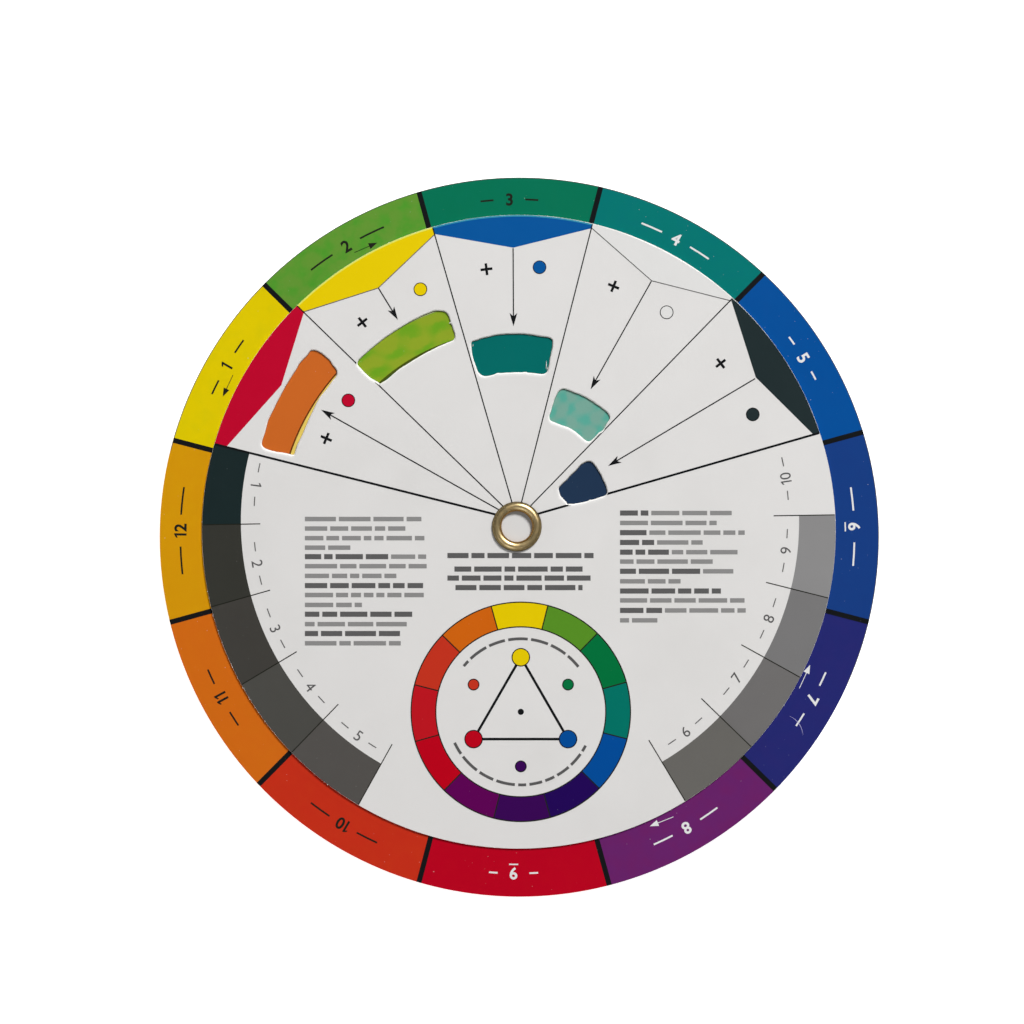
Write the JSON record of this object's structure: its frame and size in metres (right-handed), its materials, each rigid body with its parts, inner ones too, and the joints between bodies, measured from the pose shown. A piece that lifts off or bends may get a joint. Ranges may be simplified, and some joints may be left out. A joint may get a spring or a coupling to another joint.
{
  "type": "colour mixing wheel",
  "caption": "Round card colour mixing wheel: a printed base disc with a windowed front dial and a smaller rear dial that turn on a brass eyelet.",
  "frame": {"origin": "centre of the base disc's outline, at the height of the eyelet's rear roll that the wheel rests on", "axes": "+Z out of the printed front face, +Y to the top of the printed face, +X to its right"},
  "size_m": [0.14, 0.14, 0.0035],
  "materials": {
    "printed_card": "printed and gloss laminated",
    "white_card": "white, printed and gloss laminated",
    "eyelet_brass": "bright drawn brass"
  },
  "bodies": {
    "base": {"base_disc": "printed_card", "eyelet": "eyelet_brass", "rear_washer": "eyelet_brass"},
    "front_dial_body": {"front_dial": "white_card"},
    "rear_dial_body": {"rear_dial": "white_card"}
  },
  "joints": [
    {"name": "dial_turn", "type": "hinge", "parent": "base", "child": "front_dial_body", "pos_m": [-0.00049, 0.00206, 0.00237], "axis": [0, 0, 1], "continuous": true},
    {"name": "rear_dial_turn", "type": "hinge", "parent": "base", "child": "rear_dial_body", "pos_m": [-0.00049, 0.00206, 0.00127], "axis": [0, 0, 1], "continuous": true}
  ]
}
